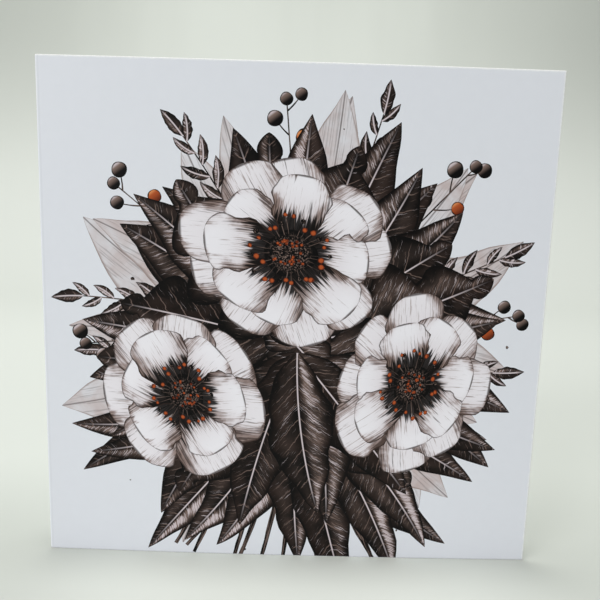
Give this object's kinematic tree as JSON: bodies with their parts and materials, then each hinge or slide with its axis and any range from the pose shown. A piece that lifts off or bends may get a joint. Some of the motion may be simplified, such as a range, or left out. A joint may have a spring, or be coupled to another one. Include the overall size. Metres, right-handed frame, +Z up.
{
  "type": "greeting card",
  "caption": "Square folded greeting card of white board that stands upright on the bottom edges of its partly open leaves, with a printed front.",
  "frame": {"origin": "middle of the card's footprint, on the surface that it stands on", "axes": "+Z up; the printed front faces -Y and the fold runs up its -X side; +Y goes from the front to the free edge of the back leaf"},
  "size_m": [0.1506, 0.0984, 0.15],
  "materials": {
    "printed_board": "smooth coated board with a soft sheen",
    "plain_board": "matt uncoated board"
  },
  "bodies": {
    "back": {"back_leaf": "plain_board", "fold": "printed_board"},
    "cover": {"front_leaf": "printed_board"}
  },
  "joints": [
    {"name": "card_fold", "type": "hinge", "parent": "back", "child": "cover", "pos_m": [-0.0747, -0.04764, 0.075], "axis": [0, 0, -1], "range_deg": [-40, 140]}
  ]
}
